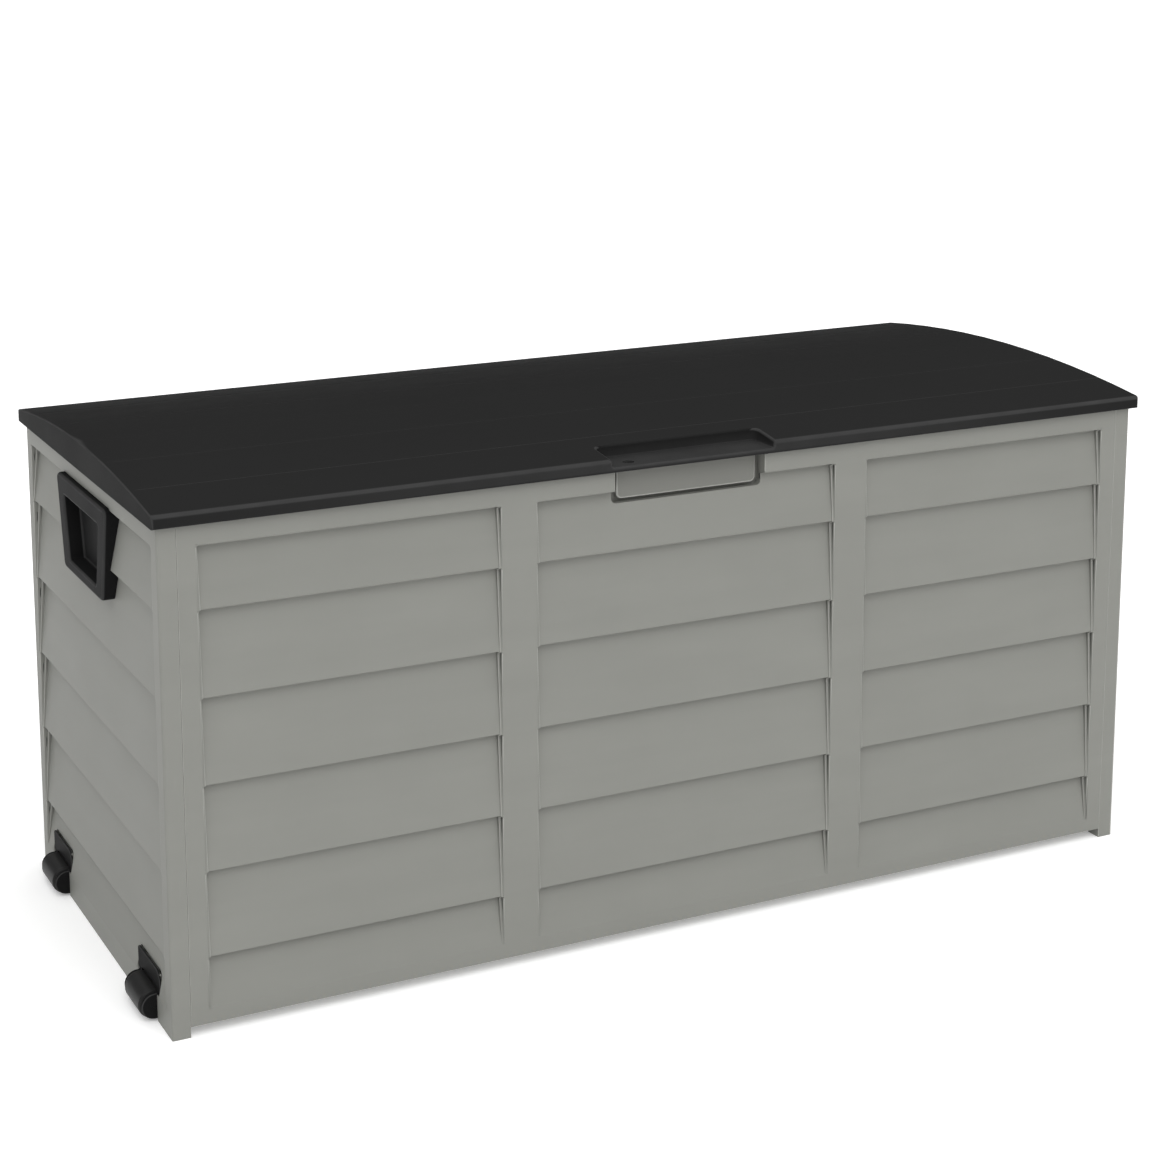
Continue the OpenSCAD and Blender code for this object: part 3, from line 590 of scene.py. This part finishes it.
def add_slabs(whole, bays, cuts, place):
    """Adds every bay's surface to the panel, and marks where a highlight is painted on it."""
    marks = []
    for bay, outlines in zip(bays, cuts):
        slab = cut_away(bay_slab(bay, place, marks), outlines, place)
        mesh = bpy.data.meshes.new("slab")
        slab.to_mesh(mesh)
        slab.free()
        whole.from_mesh(mesh)
        bpy.data.meshes.remove(mesh)
    near_marks = KDTree(len(marks))
    for k, (point, _) in enumerate(marks):
        near_marks.insert(point, k)
    near_marks.balance()
    light = whole.verts.layers.float["edge"]
    for vert in whole.verts:
        _, k, distance = near_marks.find(vert.co)
        if distance < MARK_REACH:
            vert[light] = marks[k][1]


def make_panel(node, bays, cuts):
    """A panel with its bays drawn again; cuts holds a list of outlines for every bay."""
    place = surface_place(node)
    along = 1 if node.endswith("end_panel") else 0
    origin, inward = place(0, 0, 0), (place(0, 1, 0) - place(0, 0, 0)).normalized()

    def depth_of(point):
        return (point - origin).dot(inward)

    bm = cad_mesh(node, lambda point: depth_of(point) < OUTER_DEPTH)
    open_bays(bm, bays, along, depth_of)
    obj = rounded(node, panel_radius(node, along, depth_of), 3, bm)
    whole = bmesh.new()
    whole.from_mesh(obj.data)
    add_slabs(whole, bays, cuts, place)
    for face in whole.faces:
        face.smooth = True
        face.material_index = 0
    for edge in whole.edges:
        edge.smooth = len(edge.link_faces) == 2 and edge.calc_face_angle(0) < SHARP_TURN
    whole.to_mesh(obj.data)
    whole.free()


make_panel("front_panel", LONG_BAYS, ([], [recess_cut()], []))
make_panel("back_panel", LONG_BAYS, ([], [], []))
make_panel("left_end_panel", END_BAYS, ([handle_cut(), roller_cut(-1), roller_cut(1)],))
make_panel("right_end_panel", END_BAYS, ([handle_cut()],))
rounded("base_panel", evenly(BASE_EDGE), 2, cad_mesh("base_panel", lambda point: False))
rounded("lock_bracket", evenly(LOCK_PLATE_EDGE), 4)


# ---- Lid ----
# The ribbed underside keeps the CAD's own triangles, as merging them there gives wrong faces.
# The painted light in the tray stops just below its rim, which rises towards the back.

LID_FRONT_EDGE = 4.0 * MM
LID_END_EDGE = 1.5 * MM
LID_CORNER = 3.0 * MM
LID_FOOT_EDGE = 0.8 * MM
LID_INNER_EDGE = 0.4 * MM
TOP_FROM = 509 * MM
FOOT_TO = 501 * MM
UNDERSIDE_HALF = 200 * MM
UNDERSIDE_AT = 506 * MM
UNDERSIDE_REACH = 3 * MM
TRAY_DEPTH = 40.5 * MM
TRAY_HALF = 97 * MM
TRAY_FROM = 505 * MM
TRAY_FLOOR_TO = 506.5 * MM
TRAY_RIM = 2.6 * MM
TRAY_FLOOR_EDGE = 1.5 * MM
TRAY_CORNER = 9.0 * MM
TRAY_CORNER_AT = (80 * MM, 100 * MM)
PADLOCK_AT = Vector((-67 * MM, -229 * MM))
PADLOCK_REACH = 8 * MM
PADLOCK_EDGE = 0.5 * MM
PLANK_PITCH = 88.0 * MM
PLANK_LINE = 0.3 * MM
PLANKS_TO = 2.5
PLANKS_FROM = 512 * MM
# Painted light in the grip tray: how much, and where it lies.
TRAY_PAINTED_LIGHT = 0.55
TRAY_LIGHT_HALF = 96 * MM
TRAY_LIGHT_BACK = -204 * MM
TRAY_LIGHT_FROM = 502.6 * MM
RIM_FRONT = -239 * MM
RIM_HEIGHT = 512.3 * MM
RIM_SLOPE = 0.142
RIM_CLEAR = 2 * MM


def lid_mesh():
    """The lid, with the two upright corners at the back of its tray rounded."""
    def whole(point):
        underside = abs(point.z - UNDERSIDE_AT) <= UNDERSIDE_REACH
        return not underside or abs(point.y) > UNDERSIDE_HALF

    bm = cad_mesh("lid", whole)
    tray_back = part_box("lid")[0][1] + TRAY_DEPTH
    corners = [
        e for e in bm.edges
        if all(near(v.co.y, tray_back, 0.3 * MM) for v in e.verts)
        and abs((e.verts[0].co - e.verts[1].co).normalized().z) > 0.9
        and TRAY_CORNER_AT[0] < abs(e.verts[0].co.x) < TRAY_CORNER_AT[1]
        and min(v.co.z for v in e.verts) > TRAY_FROM
    ]
    bmesh.ops.bevel(bm, geom=corners, offset=TRAY_CORNER, segments=8, profile=0.5,
                    affect="EDGES", clamp_overlap=False)
    bm.normal_update()
    return bm


def lid_radius():
    """Broad roundings on the top's outline, and a soft rim and floor in the grip tray."""
    low, high = span("lid")
    front = low.y
    tray_back = front + TRAY_DEPTH
    half = high.x

    def tray_radius(middle):
        if (middle.xy - PADLOCK_AT).length < PADLOCK_REACH:
            return PADLOCK_EDGE
        floor_edge = middle.z < TRAY_FLOOR_TO and middle.y > front + MM
        return TRAY_FLOOR_EDGE if floor_edge else TRAY_RIM

    def radius_of(middle, direction):
        across = abs(middle.x) < TRAY_HALF and middle.y < tray_back + 0.5 * MM
        if across and middle.z > TRAY_FROM:
            return tray_radius(middle)
        on_top = middle.z > TOP_FROM
        at_end = near(abs(middle.x), half)
        if on_top and near(middle.y, front):
            return LID_FRONT_EDGE
        if on_top and at_end:
            return LID_END_EDGE
        if at_end and near(abs(middle.y), abs(front)):
            return LID_CORNER
        if on_top and near(middle.y, -front):
            return LID_FRONT_EDGE
        return LID_FOOT_EDGE if middle.z < FOOT_TO else LID_INNER_EDGE

    return radius_of


def paint_plank_highlights(mesh):
    """Paints the lines between the lid's planks with the same highlight as the rounded edges."""
    layer = mesh.attributes["edge"]
    for vert in mesh.vertices:
        offset = vert.co.y / PLANK_PITCH
        off_line = abs(offset - round(offset)) * PLANK_PITCH
        on_line = off_line < PLANK_LINE and abs(offset) < PLANKS_TO
        if on_line and vert.co.z > PLANKS_FROM and vert.normal.z > 0.5:
            layer.data[vert.index].value = 1.0


def paint_tray_light(mesh):
    """Paints light on the grip tray's floor and walls, up to just below its rim."""
    layer = mesh.attributes["edge"]
    for vert in mesh.vertices:
        rim = RIM_HEIGHT + (vert.co.y - RIM_FRONT) * RIM_SLOPE
        inside = abs(vert.co.x) < TRAY_LIGHT_HALF and vert.co.y < TRAY_LIGHT_BACK
        if inside and TRAY_LIGHT_FROM < vert.co.z < rim - RIM_CLEAR:
            layer.data[vert.index].value = max(layer.data[vert.index].value, TRAY_PAINTED_LIGHT)


lid = rounded("lid", lid_radius(), 4, lid_mesh())
paint_plank_highlights(lid.data)
paint_tray_light(lid.data)


# ---- Handles ----
# Each is a frame round an opening, with a cup behind it. Spans are heights above the ground.

HANDLE_EDGE = 3.4 * MM
OPENING_EDGE = 2.8 * MM
CUP_EDGE = 2.4 * MM
HIDDEN_EDGE = 0.5 * MM
OPENING_HALF = 68 * MM
OPENING_SPAN = (394 * MM, 462 * MM)
CUP_DEPTH = 17.3 * MM
CUP_HALF = 72 * MM
CUP_TOUCH = 0.1 * MM
# Share of painted light on the back of the handle's cup.
CUP_PAINTED_LIGHT = 0.3
CREASE_ACROSS = (45 * MM, 71 * MM)
CREASE_SPAN = (396 * MM, 474 * MM)


def handle_face(node):
    """Where the handle's outer face lies along x."""
    low, high = span(node)
    return max(low.x, high.x, key=abs)


def handle_radius(face):
    """Broad roundings on the frame and its opening, and a soft crease round the cup's back."""
    back = abs(face) - CUP_DEPTH

    def radius_of(middle, direction):
        in_opening = abs(middle.y) < OPENING_HALF and OPENING_SPAN[0] < middle.z < OPENING_SPAN[1]
        if near(middle.x, face):
            return OPENING_EDGE if in_opening else HANDLE_EDGE
        if near(abs(middle.x), back) and abs(middle.y) < CUP_HALF:
            return CUP_EDGE
        return HIDDEN_EDGE

    return radius_of


def paint_cup_highlight(mesh, face):
    """Paints light on the back of the cup, and a stronger painted highlight on its upright
    creases.
    """
    layer = mesh.attributes["edge"]
    back = abs(face) - CUP_DEPTH
    for vert in mesh.vertices:
        inside = (CREASE_ACROSS[0] < abs(vert.co.y) < CREASE_ACROSS[1]
                  and CREASE_SPAN[0] < vert.co.z < CREASE_SPAN[1])
        if inside and near(abs(vert.co.x), back, CUP_TOUCH):
            layer.data[vert.index].value = CUP_PAINTED_LIGHT
        elif inside and back < abs(vert.co.x) < back + CUP_EDGE - CUP_TOUCH:
            layer.data[vert.index].value = 1.0


for node in ("left_handle", "right_handle"):
    face = handle_face(node)
    paint_cup_highlight(rounded(node, handle_radius(face), 4).data, face)


# ---- Rollers, hinges, axles and screws ----

BRACKET_EDGE = 1.2 * MM
BRACKET_INNER_EDGE = 0.4 * MM
BRACKET_OUTSIDE = -548 * MM
ROLLER_EDGE = 0.4 * MM
HINGE_EDGE = 0.8 * MM
STEEL_EDGE = 0.25 * MM


def bracket_radius(middle, direction):
    """Broad roundings on what stands out of the end panel, small ones inside it."""
    return BRACKET_EDGE if middle.x < BRACKET_OUTSIDE else BRACKET_INNER_EDGE


for node in ("front_roller_bracket", "rear_roller_bracket"):
    rounded(node, bracket_radius)
for node in ("front_roller", "rear_roller"):
    rounded(node, evenly(ROLLER_EDGE), 2)
for node in ("left_hinge_bracket", "middle_hinge_bracket", "right_hinge_bracket"):
    rounded(node, evenly(HINGE_EDGE), 2)
for node, slot in NODE_SLOT.items():
    if slot == "zinc_steel":
        rounded(node, evenly(STEEL_EDGE), 2)


# ---- Studio ----------------------------------------------------------------

WHITE = (1, 1, 1, 1)
FLOOR_HALF = 60
FLOOR_GLOW = 0.25
SKY_FROM = 0.25
SKY_TO = 0.9


def add_floor():
    """A white floor to beyond the view, with a faint glow of its own to reach the paper white."""
    bm = bmesh.new()
    bmesh.ops.create_grid(bm, x_segments=1, y_segments=1, size=FLOOR_HALF)
    mesh = bpy.data.meshes.new("floor")
    bm.to_mesh(mesh)
    bm.free()
    floor = bpy.data.objects.new("floor", mesh)
    bpy.context.collection.objects.link(floor)
    n = Nodes("floor")
    tone = n.mix(n.noise(3), (0.93, 0.93, 0.93), (0.95, 0.95, 0.95))
    n.shader.inputs["Emission Color"].default_value = WHITE
    n.shader.inputs["Emission Strength"].default_value = FLOOR_GLOW
    rough = n.remap(n.noise(5), 0, 1, 0.8, 0.9)
    mesh.materials.append(n.finish(tone, rough, n.bump(n.noise(200), 0.05, 0.1 * MM), 0.1))


def add_sun(name, strength, spread, azimuth, elevation):
    """A soft, distant light: azimuth 0 comes from the front and 90 from the right."""
    light = bpy.data.lights.new(name, "SUN")
    light.energy = strength
    light.angle = math.radians(spread)
    lamp = bpy.data.objects.new(name, light)
    lamp.rotation_euler = Euler((math.radians(90 - elevation), 0, math.radians(azimuth)))
    bpy.context.collection.objects.link(lamp)


def add_world(horizon, overhead):
    """A plain white sky, dimmer at the horizon than overhead."""
    world = bpy.data.worlds.new("studio")
    world.use_nodes = True
    tree = world.node_tree
    place = tree.nodes.new("ShaderNodeTexCoord")
    split = tree.nodes.new("ShaderNodeSeparateXYZ")
    ramp = tree.nodes.new("ShaderNodeMapRange")
    ramp.interpolation_type = "SMOOTHSTEP"
    for name, value in (("From Min", SKY_FROM), ("From Max", SKY_TO),
                        ("To Min", horizon), ("To Max", overhead)):
        ramp.inputs[name].default_value = value
    tree.links.new(place.outputs["Generated"], split.inputs["Vector"])
    tree.links.new(split.outputs["Z"], ramp.inputs["Value"])
    tree.links.new(ramp.outputs["Result"], tree.nodes["Background"].inputs["Strength"])
    tree.nodes["Background"].inputs["Color"].default_value = WHITE
    bpy.context.scene.world = world


def add_camera():
    camera = bpy.data.cameras.new("camera")
    camera.lens = 74.96
    camera.sensor_width = 36.0
    camera.shift_y = -0.226
    camera.clip_end = 200.0
    obj = bpy.data.objects.new("camera", camera)
    obj.location = (-1.1539, -2.2933, 1.0876)
    obj.rotation_euler = Euler((math.radians(79.39), 0.0, math.radians(-26.59)))
    bpy.context.collection.objects.link(obj)
    bpy.context.scene.camera = obj


add_floor()
add_world(horizon=0.05, overhead=1.32)
add_sun("front_light", strength=1.30, spread=50, azimuth=6, elevation=40)
add_sun("left_light", strength=0.27, spread=60, azimuth=-80, elevation=35)
add_camera()
bpy.context.scene.view_settings.view_transform = "Standard"
